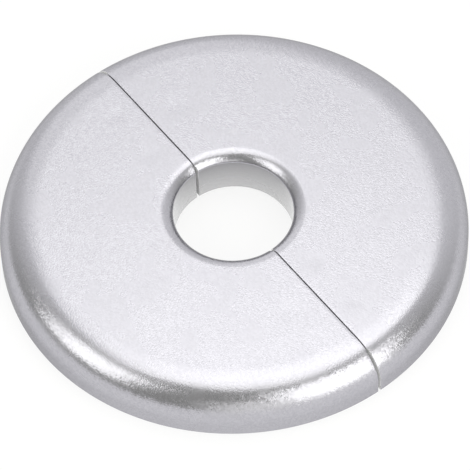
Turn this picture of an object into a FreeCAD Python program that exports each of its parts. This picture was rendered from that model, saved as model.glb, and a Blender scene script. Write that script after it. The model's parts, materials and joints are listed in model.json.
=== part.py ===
import FreeCAD, Part
import math
import os

# Split pipe collar: a flat rosette that covers the hole where a heating pipe leaves a wall or floor.
# Two identical moulded halves meet on a line through the pipe's axis. Each half carries a flat tongue
# at one end of that line and a pocket at the other, so that the pair pushes together round the pipe.
#
# Frame, in millimetres: the origin is on the pipe's axis in the plane of the wall, +Z points away from
# the wall along the pipe, X runs along the parting line, and the front half is on the -Y side.

# Outer form
outer_radius = 30.0
height = 6.45
rim_rounding = 4.4
bore_radius = 7.7
lip_width = 1.7
lip_drop = 1.0

# Moulded walls
shell_wall = 1.6
hub_wall = 1.4
hub_foot_lift = 0.15
hub_root_chamfer = 0.6

# Parting line: the halves almost meet along a thin land at the top and stand further apart below it
parting_land = 0.35
parting_gap = 0.12
parting_relief = 0.38

# Tongue on one half and pocket on the other
tongue_offset = 17.0
tongue_width = 6.3
tongue_height = 2.0
tongue_reach = 3.2
tongue_root_depth = 4.9
tongue_lead_in = 0.4
pocket_wall = 1.2
pocket_floor = 1.0
fit_clearance = 0.1
end_clearance = 0.3

# Derived levels and radii
underside = height - shell_wall
flat_radius = outer_radius - rim_rounding
lip_radius = (lip_width ** 2 + lip_drop ** 2) / (2 * lip_drop)
lip_sweep = math.degrees(math.asin(lip_width / lip_radius))
lip_start = bore_radius + lip_width
hub_radius = bore_radius + hub_wall
rim_inner_radius = outer_radius - shell_wall
inner_chamfer = (rim_rounding - shell_wall) * (2 - math.sqrt(2))  # keeps shell_wall at 45 degrees
tongue_top = underside - fit_clearance
tongue_bottom = tongue_top - tongue_height
pocket_depth = tongue_reach + end_clearance
pocket_half_width = tongue_width / 2 + fit_clearance
pocket_ceiling = underside
pocket_base = tongue_bottom - fit_clearance
weld_overlap = shell_wall / 2

Z_AXIS = FreeCAD.Vector(0, 0, 1)
ORIGIN = FreeCAD.Vector(0, 0, 0)


def line(start, end):
    """Straight edge between two (radius, level) points of the section."""
    return Part.makeLine(FreeCAD.Vector(start[0], 0, start[1]), FreeCAD.Vector(end[0], 0, end[1]))


def arc(centre, radius, start_angle, end_angle):
    """Circular edge of the section, its angles in degrees from the outward direction."""
    def point(angle):
        turn = math.radians(angle)
        return FreeCAD.Vector(centre[0] + radius * math.cos(turn), 0, centre[1] + radius * math.sin(turn))
    return Part.Arc(point(start_angle), point((start_angle + end_angle) / 2), point(end_angle)).toShape()


def outer_edges():
    """Show side of the section, from the rim's base over the flat top and down the bore."""
    rim_centre = (flat_radius, height - rim_rounding)
    lip_centre = (lip_start, height - lip_radius)
    return [
        line((outer_radius, 0), (outer_radius, height - rim_rounding)),
        arc(rim_centre, rim_rounding, 0, 90),
        line((flat_radius, height), (lip_start, height)),
        arc(lip_centre, lip_radius, 90, 90 + lip_sweep),
        line((bore_radius, height - lip_drop), (bore_radius, hub_foot_lift)),
    ]


def inner_edges():
    """Hidden side of the section, corner by corner from the hub's foot along the hollow to the rim's base."""
    corners = [
        (bore_radius, hub_foot_lift),
        (hub_radius, hub_foot_lift),
        (hub_radius, underside - hub_root_chamfer),
        (hub_radius + hub_root_chamfer, underside),
        (rim_inner_radius - inner_chamfer, underside),
        (rim_inner_radius, underside - inner_chamfer),
        (rim_inner_radius, 0),
        (outer_radius, 0),
    ]
    return [line(start, end) for start, end in zip(corners, corners[1:])]


def whole_shell():
    """The full ring before it is parted: the section turned once round the pipe's axis."""
    section = Part.Face(Part.Wire(outer_edges() + inner_edges()))
    return section.revolve(ORIGIN, Z_AXIS, 360)


def block(x_range, y_range, z_range):
    """Rectangular block between the given limits."""
    corner = FreeCAD.Vector(x_range[0], y_range[0], z_range[0])
    return Part.makeBox(x_range[1] - x_range[0], y_range[1] - y_range[0], z_range[1] - z_range[0], corner)


def front_side():
    """Everything in front of the parting line, which it nears at the land and stays clear of below."""
    reach = 2 * outer_radius
    land_y = -parting_gap / 2
    relief_y = -parting_relief / 2
    land_foot = height - parting_land
    ease_foot = land_foot - (land_y - relief_y)
    corners = [
        FreeCAD.Vector(-reach, -reach, -height),
        FreeCAD.Vector(-reach, relief_y, -height),
        FreeCAD.Vector(-reach, relief_y, ease_foot),
        FreeCAD.Vector(-reach, land_y, land_foot),
        FreeCAD.Vector(-reach, land_y, 2 * height),
        FreeCAD.Vector(-reach, -reach, 2 * height),
    ]
    outline = Part.makePolygon(corners + corners[:1])
    return Part.Face(outline).extrude(FreeCAD.Vector(2 * reach, 0, 0))


def tongue():
    """Flat tongue that reaches past the parting line, its tip chamfered to lead it in."""
    half_width = tongue_width / 2
    bar = block((tongue_offset - half_width, tongue_offset + half_width),
                (-tongue_root_depth, tongue_reach),
                (tongue_bottom, tongue_top))
    tip_edges = [edge for edge in bar.Edges
                 if all(abs(vertex.Y - tongue_reach) < Part.Precision.confusion() for vertex in edge.Vertexes)]
    return bar.makeChamfer(tongue_lead_in, tip_edges)


def tongue_root():
    """Block that hangs the tongue from the plate of its own half."""
    half_width = tongue_width / 2
    return block((tongue_offset - half_width, tongue_offset + half_width),
                 (-tongue_root_depth, 0),
                 (tongue_bottom, underside + weld_overlap))


def pocket_walls():
    """Box under the plate, still solid, that takes the other half's tongue."""
    half_width = pocket_half_width + pocket_wall
    return block((-tongue_offset - half_width, -tongue_offset + half_width),
                 (-pocket_depth - pocket_wall, 0),
                 (pocket_base - pocket_floor, underside + weld_overlap))


def pocket_hollow():
    """Space inside the pocket, open through the parting face."""
    return block((-tongue_offset - pocket_half_width, -tongue_offset + pocket_half_width),
                 (-pocket_depth, outer_radius),
                 (pocket_base, pocket_ceiling))


def moulded_half():
    """Front half as one moulding: shell, pocket at -X and tongue at +X."""
    blank = whole_shell().fuse([pocket_walls(), tongue_root()])
    parted = blank.common(front_side()).cut(pocket_hollow())
    return parted.fuse(tongue()).removeSplitter()


def single_solid(shape):
    """The one solid that a moulding has to be."""
    solids = shape.Solids
    if len(solids) != 1 or not solids[0].isValid():
        raise ValueError("a half has to be one valid solid")
    return solids[0]


front_half = single_solid(moulded_half())
rear_half = front_half.copy()
rear_half.rotate(ORIGIN, Z_AXIS, 180)

os.makedirs("parts", exist_ok=True)
for name, solid in (("front_half", front_half), ("rear_half", rear_half)):
    solid.exportStep("parts/" + name + ".step")
    print(name, "volume", round(solid.Volume, 1), "mm3, box", solid.optimalBoundingBox())
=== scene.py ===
import json
import math

import bmesh
import bpy
from mathutils import Matrix, Vector


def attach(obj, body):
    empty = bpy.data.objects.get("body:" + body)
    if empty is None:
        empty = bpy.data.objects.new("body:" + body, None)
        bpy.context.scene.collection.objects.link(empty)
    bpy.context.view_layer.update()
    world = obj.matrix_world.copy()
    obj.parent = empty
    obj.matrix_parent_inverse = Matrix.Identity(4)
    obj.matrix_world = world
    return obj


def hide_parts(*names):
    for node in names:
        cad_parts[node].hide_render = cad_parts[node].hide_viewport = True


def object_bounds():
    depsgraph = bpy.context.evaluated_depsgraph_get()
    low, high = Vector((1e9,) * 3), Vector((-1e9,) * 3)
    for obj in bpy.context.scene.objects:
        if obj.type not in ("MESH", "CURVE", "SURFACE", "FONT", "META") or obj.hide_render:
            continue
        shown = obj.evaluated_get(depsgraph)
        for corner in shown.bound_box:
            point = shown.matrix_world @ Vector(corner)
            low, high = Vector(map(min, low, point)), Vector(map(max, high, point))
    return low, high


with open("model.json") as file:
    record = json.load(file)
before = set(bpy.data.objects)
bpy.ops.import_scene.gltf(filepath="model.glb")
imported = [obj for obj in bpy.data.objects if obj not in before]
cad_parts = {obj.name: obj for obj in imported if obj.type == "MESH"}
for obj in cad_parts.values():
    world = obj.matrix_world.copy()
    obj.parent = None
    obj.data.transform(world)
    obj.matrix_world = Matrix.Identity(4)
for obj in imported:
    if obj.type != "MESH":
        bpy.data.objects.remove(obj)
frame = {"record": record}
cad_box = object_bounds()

# Split pipe collar in satin silver paint on a white studio floor. Metres, in the part's own frame: the pipe's
# axis is +Z, the parting line runs along X and the front half is on the -Y side.

MM_PER_METRE = 1000
QUARTER_TURN = math.pi / 2
HALF_TURN = math.pi

# Sizes that the frame gives
PIPE_BORE = next(mount for mount in frame["record"]["mounts"] if mount["name"] == "pipe_bore")
BORE_RADIUS = PIPE_BORE["dims"]["r_mm"] / MM_PER_METRE
OUTER_RADIUS = (cad_box[1].y - cad_box[0].y) / 2
HEIGHT = cad_box[1].z

# Section of the moulding: a gentle shoulder leads from the flat top into the rim's rounding
RIM_ROUNDING = 0.0044
SHOULDER_RADIUS = 0.012
SHOULDER_SWEEP = math.radians(6)
LIP_WIDTH = 0.0017
LIP_DROP = 0.0010
SHELL_WALL = 0.0016
HUB_WALL = 0.0014
HUB_FOOT_LIFT = 0.00015
HUB_ROOT_CHAMFER = 0.0006
SOFT_EDGE = 0.00012

# Parting line: the halves almost meet along a thin land at the top and stand further apart below it
PARTING_LAND = 0.00035
PARTING_GAP = 0.00012
PARTING_RELIEF = 0.00038
PARTING_EDGE_RADIUS = 0.00005

# Tongue and pocket
TONGUE_OFFSET = 0.0170
TONGUE_WIDTH = 0.0063
TONGUE_HEIGHT = 0.0020
TONGUE_REACH = 0.0032
TONGUE_ROOT_DEPTH = 0.0049
TONGUE_LEAD_IN = 0.0004
POCKET_WALL = 0.0012
POCKET_FLOOR = 0.0010
FIT_CLEARANCE = 0.0001
END_CLEARANCE = 0.0003

# Sink marks that the pocket's corners and the tongue's root leave in the flat top
SINK_DEPTH = 0.000020
CORNER_SINK_SPREAD = 0.0011
ROOT_SINK_SPREAD = 0.0017

# Mesh density, and how far a face has to turn towards an axis to count as looking along it
SWEEP_STEPS = 180
ARC_STEP = math.radians(3.3)
TOP_STEPS = 48
WALL_STEPS = 6
CORNER_STEPS = 4
PARTING_EDGE_STEPS = 4
SMOOTH_ANGLE = math.radians(28)
LOOKS_ALONG = 0.7

# Order of the materials on a half; the second is the bore's paint, darkened as painted shade
FULL_PAINT, BORE_PAINTED_SHADE, BARE = range(3)

# Silver paint: a skin of fine grains, each domed and of its own tone, over broad and hardly visible clouds.
# Where the surface falls away from the flat top, each grain also leans its own way.
GRAIN_SIZE = 0.00022
GRAIN_DOME = 0.085
GRAIN_LEAN = 0.085
MIDDLE_COLOUR = (0.5, 0.5, 0.5)
LEAN_STARTS = math.radians(10)
LEAN_IS_FULL = math.radians(35)
GRAIN_DARK = (0.485, 0.479, 0.515, 1)
GRAIN_LIGHT = (0.535, 0.529, 0.568, 1)
CLOUD_SIZE = 0.006
CLOUD_DETAIL = 3.0
SKIN_RELIEF = 0.000004
ROUGHNESS_SPREAD = 0.05
PAINT_TONE = 1.0
PAINT_ROUGHNESS = 0.27
PAINT_EDGE_TINT = (0.55, 0.55, 0.55, 1)

# The same paint in the bore, darkened as painted shade, under a glossy coat, and lighter towards the foot as
# painted light
BORE_PAINTED_SHADE_TONE = 0.4
BORE_ROUGHNESS = 0.2
BORE_COAT_IOR = 2.0
BORE_COAT_ROUGHNESS = 0.05
BORE_FOOT_PAINTED_SHADE_SHARE = 0.4

# Bare plastic, where the spray did not reach; its light tone is also the painted light at the bore's foot
BARE_DARK = (0.78, 0.78, 0.79, 1)
BARE_LIGHT_AND_PAINTED_FOOT_LIGHT = (0.84, 0.84, 0.85, 1)
BARE_ROUGHNESS = 0.55
BARE_CLOUD_DETAIL = 4.0
SPARK_SIZE = 0.00018
SPARK_DETAIL = 2.0
SPARK_RELIEF = 0.000012

# Floor: the share of it that is seen as plain white, while the rest is shaded
FLOOR_COLOUR = (0.95, 0.95, 0.95, 1)
FLOOR_WHITE_SHARE = 0.80
FLOOR_RADIUS = 4.0
FLOOR_SIDES = 64

# Soft surround, from its darker side near the camera to its lighter side behind the collar. Directions and
# places in the studio are measured to the right of the camera's line, towards the camera and up.
SURROUND_NEAR = (0.343, 0.345, 0.321, 1)
SURROUND_FAR = (0.92, 0.92, 0.92, 1)
SURROUND_LEAN = (0.18, -0.9, 0.3)
SURROUND_RANGE = (-0.1, 0.9)

# Softboxes: place in the studio, width and depth, and brightness
SOFTBOX_COLOUR = (1.0, 1.0, 0.975)
SOFTBOXES = {
    "overhead_softbox": ((0.05, -0.09, 0.70), (0.57, 0.66), 1.35),
    "back_softbox": ((-0.20, -0.75, 0.45), (0.50, 0.60), 0.31),
    "left_softbox": ((-0.445, 0.179, 0.352), (0.38, 0.43), 1.9),
    "right_softbox": ((0.355, 0.38, 0.28), (0.46, 0.56), 2.15),
    "front_softbox": ((0.04, 0.60, 0.16), (0.34, 0.34), 0.76),
}

# Camera, from the photograph's perspective
CAMERA_AZIMUTH = math.radians(54.62)
CAMERA_ELEVATION = math.radians(54.90)
CAMERA_DISTANCE = 0.48317
CAMERA_ROLL = math.radians(-2.187)
CAMERA_SENSOR_MM = 36
CAMERA_LENS_MM = 288.1
CAMERA_SHIFT_X = 0.00154
CAMERA_SHIFT_Y = 0.00125
CAMERA_CLIP_RATIO = 100

# Derived sizes
UNDERSIDE = HEIGHT - SHELL_WALL
SHOULDER_WIDTH = SHOULDER_RADIUS * math.sin(SHOULDER_SWEEP)
SHOULDER_DROP = SHOULDER_RADIUS * (1 - math.cos(SHOULDER_SWEEP))
RIM_RADIUS = (RIM_ROUNDING - SHOULDER_DROP) / math.cos(SHOULDER_SWEEP)
FLAT_RADIUS = OUTER_RADIUS - RIM_RADIUS * (1 - math.sin(SHOULDER_SWEEP)) - SHOULDER_WIDTH
LIP_RADIUS = (LIP_WIDTH ** 2 + LIP_DROP ** 2) / (2 * LIP_DROP)
LIP_SWEEP = math.asin(LIP_WIDTH / LIP_RADIUS)
LIP_START = BORE_RADIUS + LIP_WIDTH
HUB_RADIUS = BORE_RADIUS + HUB_WALL
RIM_INNER_RADIUS = OUTER_RADIUS - SHELL_WALL
INNER_CHAMFER = (RIM_ROUNDING - SHELL_WALL) * (2 - math.sqrt(2))  # keeps the wall at 45 degrees
LAND_FOOT = HEIGHT - PARTING_LAND
EASE_FOOT = LAND_FOOT - (PARTING_RELIEF - PARTING_GAP) / 2
TONGUE_TOP = UNDERSIDE - FIT_CLEARANCE
TONGUE_BOTTOM = TONGUE_TOP - TONGUE_HEIGHT
POCKET_DEPTH = TONGUE_REACH + END_CLEARANCE
POCKET_HALF_WIDTH = TONGUE_WIDTH / 2 + FIT_CLEARANCE
POCKET_BASE = TONGUE_BOTTOM - FIT_CLEARANCE
WELD_TOP = UNDERSIDE + SHELL_WALL / 2
BLOCK_END = -(PARTING_RELIEF + PARTING_EDGE_RADIUS) / 2  # just inside the parting face
FLOOR_CLEARANCE = SOFT_EDGE / 10
TINY = SOFT_EDGE / 100


def straight(start, end, steps):
    """Points of a straight run of the section, both ends included."""
    return [start.lerp(end, i / steps) for i in range(steps + 1)]


def round_run(centre, radius, stops):
    """Points of a circular run of the section that passes the given angles, from the outward direction."""
    turns = []
    for start, end in zip(stops, stops[1:]):
        steps = max(1, round((end - start) / ARC_STEP))
        turns += [start + (end - start) * i / steps for i in range(steps)]
    return [centre + radius * Vector((math.cos(turn), math.sin(turn))) for turn in turns + [stops[-1]]]


def softened(before, after, reach):
    """Joins two runs that meet at a crisp corner with a small rounding that starts reach away from it."""
    corner = before[-1]
    head = [point for point in before if (point - corner).length > reach]
    tail = [point for point in after if (point - corner).length > reach]
    start = corner + (head[-1] - corner).normalized() * reach
    end = corner + (tail[0] - corner).normalized() * reach
    steps = [i / CORNER_STEPS for i in range(CORNER_STEPS + 1)]
    curve = [start.lerp(corner, t).lerp(corner.lerp(end, t), t) for t in steps]
    return head + curve + tail


def show_side():
    """Section from the rim's base over the flat top and down the bore to the hub's foot.

    The rim and the lip have points exactly where the land and the ease below it end.
    """
    rim_centre = Vector((OUTER_RADIUS - RIM_RADIUS, HEIGHT - RIM_ROUNDING))
    shoulder_centre = Vector((FLAT_RADIUS, HEIGHT - SHOULDER_RADIUS))
    lip_centre = Vector((LIP_START, HEIGHT - LIP_RADIUS))
    shoulder = QUARTER_TURN - SHOULDER_SWEEP
    rim_breaks = [math.asin((level - rim_centre.y) / RIM_RADIUS) for level in (EASE_FOOT, LAND_FOOT)]
    lip_breaks = [HALF_TURN - math.asin((level - lip_centre.y) / LIP_RADIUS)
                  for level in (LAND_FOOT, EASE_FOOT)]
    rim = straight(Vector((OUTER_RADIUS, 0)), Vector((OUTER_RADIUS, rim_centre.y)), WALL_STEPS)
    rim += round_run(rim_centre, RIM_RADIUS, [0, *rim_breaks, shoulder])[1:]
    rim += round_run(shoulder_centre, SHOULDER_RADIUS, [shoulder, QUARTER_TURN])[1:]
    top = straight(Vector((FLAT_RADIUS, HEIGHT)), Vector((LIP_START, HEIGHT)), TOP_STEPS)[1:]
    lip = round_run(lip_centre, LIP_RADIUS, [QUARTER_TURN, *lip_breaks, QUARTER_TURN + LIP_SWEEP])[1:]
    bore = straight(lip[-1], Vector((BORE_RADIUS, HUB_FOOT_LIFT)), WALL_STEPS)
    return rim + top + softened(lip, bore, SOFT_EDGE)


def hidden_side():
    """Section from the hub's foot along the hollow to the rim's base."""
    return [
        Vector((HUB_RADIUS, HUB_FOOT_LIFT)),
        Vector((HUB_RADIUS, UNDERSIDE - HUB_ROOT_CHAMFER)),
        Vector((HUB_RADIUS + HUB_ROOT_CHAMFER, UNDERSIDE)),
        Vector((RIM_INNER_RADIUS - INNER_CHAMFER, UNDERSIDE)),
        Vector((RIM_INNER_RADIUS, UNDERSIDE - INNER_CHAMFER)),
        Vector((RIM_INNER_RADIUS, 0)),
    ]


def outward(points, index):
    """Outward normal of the show side at one of its points."""
    before = points[max(index - 1, 0)]
    after = points[min(index + 1, len(points) - 1)]
    along = (after - before).normalized()
    return Vector((along.y, -along.x))


def half_gap(level):
    """Half the parting gap at a level: narrow along the land, wide below the short ease at its foot."""
    share = min(max((level - EASE_FOOT) / (LAND_FOOT - EASE_FOOT), 0), 1)
    return (PARTING_RELIEF + (PARTING_GAP - PARTING_RELIEF) * share) / 2


def sink_marks():
    """Centre and spread of each shallow dent that a thick place under the flat top leaves in it."""
    wall_offset = POCKET_HALF_WIDTH + POCKET_WALL / 2
    corners = [Vector((-TONGUE_OFFSET + side * wall_offset, -TONGUE_REACH)) for side in (-1, 1)]
    root = Vector((TONGUE_OFFSET, POCKET_WALL / 2 - TONGUE_ROOT_DEPTH))
    return [(corner, CORNER_SINK_SPREAD) for corner in corners] + [(root, ROOT_SINK_SPREAD)]


def sink(place):
    """How far the flat top sinks at a place in plan."""
    marks = sink_marks()
    return SINK_DEPTH * sum(math.exp(-((place - centre).length / spread) ** 2) for centre, spread in marks)


def shell_columns(show, section):
    """Columns of the half ring, each with the whole section. The first and last are on the parting faces."""
    hidden_count = len(section) - len(show)
    normals = [outward(show, i) for i in range(len(show))] + [Vector((0, 0))] * hidden_count
    flat = [abs(point.y - HEIGHT) < TINY for point in section]

    def place(index, turn_share, edge_angle):
        """Point of a column. edge_angle grows from 0 to a quarter turn over the rounded parting edge."""
        inset = PARTING_EDGE_RADIUS * (1 - math.cos(edge_angle))
        depth = PARTING_EDGE_RADIUS * (1 - math.sin(edge_angle))
        point = section[index] - inset * normals[index]
        back = half_gap(section[index].y) + depth
        end_turn = math.asin(back / point.x)
        turn = end_turn + (HALF_TURN - 2 * end_turn) * turn_share
        plan = point.x * Vector((math.cos(turn), -math.sin(turn)))
        drop = sink(plan) if flat[index] else 0
        return Vector((plan.x, plan.y, point.y - drop))

    edge_angles = [QUARTER_TURN * i / PARTING_EDGE_STEPS for i in range(1, PARTING_EDGE_STEPS + 1)]
    stations = [(0, angle) for angle in reversed(edge_angles)]
    stations += [(i / SWEEP_STEPS, 0) for i in range(SWEEP_STEPS + 1)]
    stations += [(1, angle) for angle in edge_angles]
    return [[place(i, share, angle) for i in range(len(section))] for share, angle in stations]


def mesh_of(build):
    """A new mesh filled by a function that works on a bmesh, its faces turned outward."""
    bm = bmesh.new()
    build(bm)
    bmesh.ops.recalc_face_normals(bm, faces=bm.faces)
    mesh = bpy.data.meshes.new("built")
    bm.to_mesh(mesh)
    bm.free()
    return mesh


def fill_shell(bm):
    """Closed skin of the half ring, its parting faces in three bands: relief, ease and land."""
    show = show_side()
    section = show + hidden_side()
    columns = [[bm.verts.new(point) for point in column] for column in shell_columns(show, section)]
    count = len(section)
    for left, right in zip(columns, columns[1:]):
        for i in range(count):
            j = (i + 1) % count
            bm.faces.new((left[i], left[j], right[j], right[i]))
    for low, high in ((0, EASE_FOOT), (EASE_FOOT, LAND_FOOT), (LAND_FOOT, HEIGHT)):
        band = [i for i, point in enumerate(section) if low - TINY < point.y < high + TINY]
        for end in (columns[0], columns[-1]):
            bm.faces.new([end[i] for i in band])


def fill_block(x_range, y_range, z_range):
    """Builder of a block between limits."""
    def fill(bm):
        size = [high - low for low, high in (x_range, y_range, z_range)]
        middle = [(low + high) / 2 for low, high in (x_range, y_range, z_range)]
        bmesh.ops.create_cube(bm, size=1, matrix=Matrix.Translation(middle) @ Matrix.Diagonal((*size, 1)))
    return fill


def fill_tongue(bm):
    """Tongue and the root that hangs it from the plate, as one prism with a chamfered tip."""
    outline = [
        (-TONGUE_ROOT_DEPTH, WELD_TOP),
        (BLOCK_END, WELD_TOP),
        (BLOCK_END, TONGUE_TOP),
        (TONGUE_REACH, TONGUE_TOP),
        (TONGUE_REACH, TONGUE_BOTTOM),
        (-TONGUE_ROOT_DEPTH, TONGUE_BOTTOM),
    ]
    sides = (TONGUE_OFFSET - TONGUE_WIDTH / 2, TONGUE_OFFSET + TONGUE_WIDTH / 2)
    left, right = [[bm.verts.new((x, y, z)) for y, z in outline] for x in sides]
    bm.faces.new(left)
    bm.faces.new(right)
    for i in range(len(outline)):
        bm.faces.new((left[i - 1], left[i], right[i], right[i - 1]))
    tip = [edge for edge in bm.edges if all(abs(vert.co.y - TONGUE_REACH) < TINY for vert in edge.verts)]
    bmesh.ops.bevel(bm, geom=tip, offset=TONGUE_LEAD_IN, segments=1, affect="EDGES")


def combined(mesh, other, operation):
    """Result of a boolean between two closed meshes."""
    target = bpy.data.objects.new("boolean_target", mesh)
    tool = bpy.data.objects.new("boolean_tool", other)
    for helper in (target, tool):
        bpy.context.scene.collection.objects.link(helper)
    change = target.modifiers.new("boolean", "BOOLEAN")
    change.solver = "EXACT"
    change.operation = operation
    change.object = tool
    graph = bpy.context.evaluated_depsgraph_get()
    result = bpy.data.meshes.new_from_object(target.evaluated_get(graph))
    for helper in (target, tool):
        bpy.data.objects.remove(helper)
    return result


def half_mesh():
    """Front half as one closed mesh: shell, pocket at -X and tongue at +X."""
    outer = POCKET_HALF_WIDTH + POCKET_WALL
    walls = fill_block((-TONGUE_OFFSET - outer, -TONGUE_OFFSET + outer),
                       (-POCKET_DEPTH - POCKET_WALL, BLOCK_END),
                       (POCKET_BASE - POCKET_FLOOR, WELD_TOP))
    hollow = fill_block((-TONGUE_OFFSET - POCKET_HALF_WIDTH, -TONGUE_OFFSET + POCKET_HALF_WIDTH),
                        (-POCKET_DEPTH, TONGUE_REACH),
                        (POCKET_BASE, UNDERSIDE))
    mesh = combined(mesh_of(fill_shell), mesh_of(walls), "UNION")
    mesh = combined(mesh, mesh_of(hollow), "DIFFERENCE")
    return combined(mesh, mesh_of(fill_tongue), "UNION")


def is_parting(face):
    """Whether a face of the front half looks across the parting line."""
    return face.normal.y > LOOKS_ALONG and face.center.y > -PARTING_RELIEF


def coat(face):
    """Which material a face of the front half gets."""
    radius = math.hypot(face.center.x, face.center.y)
    in_hollow = HUB_RADIUS - SOFT_EDGE < radius < RIM_INNER_RADIUS + SOFT_EDGE
    underneath = in_hollow and face.center.z < UNDERSIDE + TINY
    relieved = is_parting(face) and face.center.z < LAND_FOOT
    if underneath or relieved or face.normal.z < -LOOKS_ALONG:
        return BARE
    # The bore gets the paint darkened as painted shade
    return BORE_PAINTED_SHADE if radius < BORE_RADIUS + TINY else FULL_PAINT


def finish_half(mesh, materials):
    """Gives the faces of the front half their materials and their shading."""
    mesh.materials.clear()
    for material in materials:
        mesh.materials.append(material)
    mesh.shade_smooth()
    mesh.set_sharp_from_angle(angle=SMOOTH_ANGLE)
    for face in mesh.polygons:
        face.material_index = coat(face)
        face.use_smooth = not is_parting(face)


def add_half(name, mesh, node, body):
    """Puts one half in the scene in place of its solid."""
    piece = bpy.data.objects.new(name, mesh)
    bpy.context.scene.collection.objects.link(piece)
    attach(piece, body)
    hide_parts(node)


def node_adder(owner):
    """Empties the node tree of a material or world, and returns a function that adds a node to it."""
    owner.use_nodes = True
    tree = owner.node_tree
    tree.nodes.clear()

    def add(kind, sockets, **settings):
        """New node. Each named socket gets a plain value or a link from another node's output."""
        node = tree.nodes.new(kind)
        for name, value in settings.items():
            setattr(node, name, value)
        for name, value in sockets.items():
            if isinstance(value, bpy.types.NodeSocket):
                tree.links.new(value, node.inputs[name])
            else:
                node.inputs[name].default_value = value
        return node

    return add


def add_surface(add, sockets):
    """Gives a material its shader."""
    shader = add("ShaderNodeBsdfPrincipled", sockets)
    add("ShaderNodeOutputMaterial", {"Surface": shader.outputs["BSDF"]})


def add_noise(add, place, size, detail):
    """Noise of a given size, fixed to the object."""
    values = {"Vector": place.outputs["Object"], "Scale": 1 / size, "Detail": detail}
    return add("ShaderNodeTexNoise", values).outputs["Fac"]


def add_relief(add, height, relief):
    """Normal of a skin whose height varies by relief."""
    values = {"Height": height, "Strength": 1.0, "Distance": relief}
    return add("ShaderNodeBump", values).outputs["Normal"]


def add_blend(add, share, first, second):
    """Colour between two others."""
    values = {"Factor": share, "A": first, "B": second}
    return add("ShaderNodeMix", values, data_type="RGBA").outputs["Result"]


def add_vector(add, operation, sockets):
    """Result of vector arithmetic."""
    return add("ShaderNodeVectorMath", sockets, operation=operation).outputs["Vector"]


def grain_normal(add, place, grain, skin):
    """Normal of the paint's skin with its grains: each is domed and, on slopes, leans its own way."""
    from_middle = add_vector(add, "SUBTRACT", {0: place.outputs["Object"], 1: grain.outputs["Position"]})
    dome = add_vector(add, "SCALE", {0: from_middle, "Scale": GRAIN_DOME / GRAIN_SIZE})
    upright = add("ShaderNodeSeparateXYZ", {"Vector": place.outputs["Normal"]})
    slope = add("ShaderNodeMapRange", {
        "Value": upright.outputs["Z"],
        "From Min": math.cos(LEAN_STARTS),
        "From Max": math.cos(LEAN_IS_FULL),
        "To Max": GRAIN_LEAN,
    }, interpolation_type="SMOOTHSTEP")
    own_way = add_vector(add, "SUBTRACT", {0: grain.outputs["Color"], 1: MIDDLE_COLOUR})
    lean = add_vector(add, "SCALE", {0: own_way, "Scale": slope.outputs["Result"]})
    domed = add_vector(add, "ADD", {0: skin, 1: dome})
    leaning = add_vector(add, "ADD", {0: domed, 1: lean})
    return add_vector(add, "NORMALIZE", {0: leaning})


def silver_grain(add, place, tone, roughness):
    """Colour, roughness and normal of a sprayed skin of fine grains that catch the light one by one."""
    grain = add("ShaderNodeTexVoronoi", {"Vector": place.outputs["Object"], "Scale": 1 / GRAIN_SIZE})
    cloud = add_noise(add, place, CLOUD_SIZE, CLOUD_DETAIL)
    shade = add("ShaderNodeSeparateColor", {"Color": grain.outputs["Color"]})
    dark, light = [(*(tone * channel for channel in colour[:3]), 1) for colour in (GRAIN_DARK, GRAIN_LIGHT)]
    sheen = add("ShaderNodeMapRange", {
        "Value": cloud,
        "To Min": roughness - ROUGHNESS_SPREAD,
        "To Max": roughness + ROUGHNESS_SPREAD,
    })
    return {
        "Base Color": add_blend(add, shade.outputs["Red"], dark, light),
        "Roughness": sheen.outputs["Result"],
        "Normal": grain_normal(add, place, grain, add_relief(add, cloud, SKIN_RELIEF)),
    }


def satin_paint():
    """Silver paint of the top and the rim."""
    material = bpy.data.materials.new("satin_paint")
    add = node_adder(material)
    place = add("ShaderNodeTexCoord", {})
    grain = silver_grain(add, place, PAINT_TONE, PAINT_ROUGHNESS)
    add_surface(add, {**grain, "Metallic": 1.0, "Specular Tint": PAINT_EDGE_TINT})
    return material


def bore_paint_with_painted_shade():
    """The same paint darkened as painted shade in the bore, and lighter towards the foot by painted light
    that blends it into pale plastic.
    """
    material = bpy.data.materials.new("bore_paint_with_painted_shade")
    add = node_adder(material)
    place = add("ShaderNodeTexCoord", {})
    grain = silver_grain(add, place, BORE_PAINTED_SHADE_TONE, BORE_ROUGHNESS)
    level = add("ShaderNodeSeparateXYZ", {"Vector": place.outputs["Object"]})
    # Painted light: towards the bore's foot the darkened paint blends into the pale plastic tone, so the wall
    # is lighter at the bottom
    painted_shade_share = add("ShaderNodeMapRange", {
        "Value": level.outputs["Z"],
        "From Min": HUB_FOOT_LIFT,
        "From Max": HEIGHT - LIP_DROP,
        "To Min": BORE_FOOT_PAINTED_SHADE_SHARE,
    })
    add_surface(add, {
        **grain,
        "Base Color": add_blend(add, painted_shade_share.outputs["Result"], BARE_LIGHT_AND_PAINTED_FOOT_LIGHT, grain["Base Color"]),
        "Metallic": painted_shade_share.outputs["Result"],
        "Coat Weight": 1.0,
        "Coat IOR": BORE_COAT_IOR,
        "Coat Roughness": BORE_COAT_ROUGHNESS,
    })
    return material


def bare_plastic():
    """Pale plastic as it leaves the mould, with the fine matt skin of a spark-eroded tool."""
    material = bpy.data.materials.new("bare_plastic")
    add = node_adder(material)
    place = add("ShaderNodeTexCoord", {})
    spark = add_noise(add, place, SPARK_SIZE, SPARK_DETAIL)
    cloud = add_noise(add, place, CLOUD_SIZE, BARE_CLOUD_DETAIL)
    add_surface(add, {
        "Base Color": add_blend(add, cloud, BARE_DARK, BARE_LIGHT_AND_PAINTED_FOOT_LIGHT),
        "Roughness": BARE_ROUGHNESS,
        "Normal": add_relief(add, spark, SPARK_RELIEF),
    })
    return material


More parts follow.
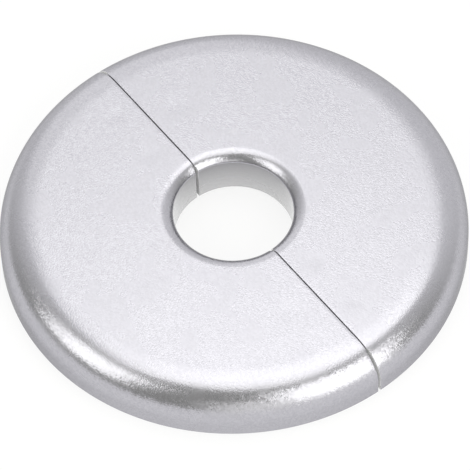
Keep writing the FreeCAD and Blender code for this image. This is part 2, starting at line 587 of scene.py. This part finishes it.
def floor_paint():
    """White floor: mostly its own white for what sees it, the rest shaded so that it keeps the shadow."""
    material = bpy.data.materials.new("studio_floor")
    add = node_adder(material)
    path = add("ShaderNodeLightPath", {})
    seen = path.outputs["Is Camera Ray"]
    for ray in ("Is Glossy Ray", "Is Transmission Ray"):
        seen = add("ShaderNodeMath", {0: seen, 1: path.outputs[ray]}, operation="MAXIMUM").outputs[0]
    share = add("ShaderNodeMath", {0: seen, 1: FLOOR_WHITE_SHARE}, operation="MULTIPLY")
    matte = add("ShaderNodeBsdfDiffuse", {"Color": FLOOR_COLOUR})
    white = add("ShaderNodeEmission", {"Strength": 1.0})
    mix = add("ShaderNodeMixShader", {
        "Fac": share.outputs[0],
        1: matte.outputs["BSDF"],
        2: white.outputs["Emission"],
    })
    add("ShaderNodeOutputMaterial", {"Surface": mix.outputs["Shader"]})
    return material


def studio_point(right, toward, up):
    """Point in the studio, measured to the right of the camera's line, towards the camera and up."""
    side = Vector((math.cos(CAMERA_AZIMUTH), math.sin(CAMERA_AZIMUTH), 0))
    front = Vector((math.sin(CAMERA_AZIMUTH), -math.cos(CAMERA_AZIMUTH), 0))
    return side * right + front * toward + Vector((0, 0, up))


def add_softbox(name, place, size, brightness):
    """Softbox that faces the collar. brightness is the radiance that a mirror would show."""
    width, depth = size
    lamp = bpy.data.lights.new(name, "AREA")
    lamp.shape = "RECTANGLE"
    lamp.size = width
    lamp.size_y = depth
    lamp.energy = brightness * width * depth * math.pi
    lamp.color = SOFTBOX_COLOUR
    box = bpy.data.objects.new(name, lamp)
    box.location = place
    box.rotation_mode = "QUATERNION"
    box.rotation_quaternion = place.to_track_quat("Z", "Y")
    bpy.context.scene.collection.objects.link(box)


def add_world():
    """Soft surround, light behind the collar, darker and a touch warmer on the camera's side."""
    world = bpy.data.worlds.new("studio")
    bpy.context.scene.world = world
    add = node_adder(world)
    place = add("ShaderNodeTexCoord", {})
    lightest = studio_point(*SURROUND_LEAN).normalized()
    lean = add("ShaderNodeVectorMath", {0: place.outputs["Generated"], 1: lightest}, operation="DOT_PRODUCT")
    share = add("ShaderNodeMapRange", {
        "Value": lean.outputs["Value"],
        "From Min": SURROUND_RANGE[0],
        "From Max": SURROUND_RANGE[1],
    }, interpolation_type="SMOOTHSTEP")
    tone = add_blend(add, share.outputs["Result"], SURROUND_NEAR, SURROUND_FAR)
    surround = add("ShaderNodeBackground", {"Color": tone, "Strength": 1.0})
    add("ShaderNodeOutputWorld", {"Surface": surround.outputs["Background"]})


def fill_floor(bm):
    """Round floor."""
    bmesh.ops.create_circle(bm, cap_ends=True, segments=FLOOR_SIDES, radius=FLOOR_RADIUS)


def add_floor():
    """Pale floor that the collar lies on."""
    mesh = mesh_of(fill_floor)
    mesh.materials.append(floor_paint())
    floor = bpy.data.objects.new("studio_floor", mesh)
    floor.location.z = -FLOOR_CLEARANCE
    bpy.context.scene.collection.objects.link(floor)


def add_camera():
    """Long-lens camera at the photograph's viewing angle."""
    level = studio_point(1, 0, 0)
    back = studio_point(0, math.cos(CAMERA_ELEVATION), math.sin(CAMERA_ELEVATION))
    steep = back.cross(level)
    right = level * math.cos(CAMERA_ROLL) + steep * math.sin(CAMERA_ROLL)
    up = steep * math.cos(CAMERA_ROLL) - level * math.sin(CAMERA_ROLL)
    lens = bpy.data.cameras.new("camera")
    lens.sensor_width = CAMERA_SENSOR_MM
    lens.lens = CAMERA_LENS_MM
    lens.shift_x = CAMERA_SHIFT_X
    lens.shift_y = CAMERA_SHIFT_Y
    lens.clip_start = CAMERA_DISTANCE / CAMERA_CLIP_RATIO
    lens.clip_end = CAMERA_DISTANCE * CAMERA_CLIP_RATIO
    camera = bpy.data.objects.new("camera", lens)
    turn = Matrix((right, up, back)).transposed().to_4x4()
    camera.matrix_world = Matrix.Translation(back * CAMERA_DISTANCE) @ turn
    bpy.context.scene.collection.objects.link(camera)
    bpy.context.scene.camera = camera


front_mesh = half_mesh()
finish_half(front_mesh, (satin_paint(), bore_paint_with_painted_shade(), bare_plastic()))
rear_mesh = front_mesh.copy()
rear_mesh.transform(Matrix.Rotation(HALF_TURN, 4, "Z"))
add_half("collar_front_half", front_mesh, "front_half", "front")
add_half("collar_rear_half", rear_mesh, "rear_half", "rear")

add_world()
for softbox, (place, size, brightness) in SOFTBOXES.items():
    add_softbox(softbox, studio_point(*place), size, brightness)
add_floor()
add_camera()
bpy.context.scene.view_settings.view_transform = "Standard"
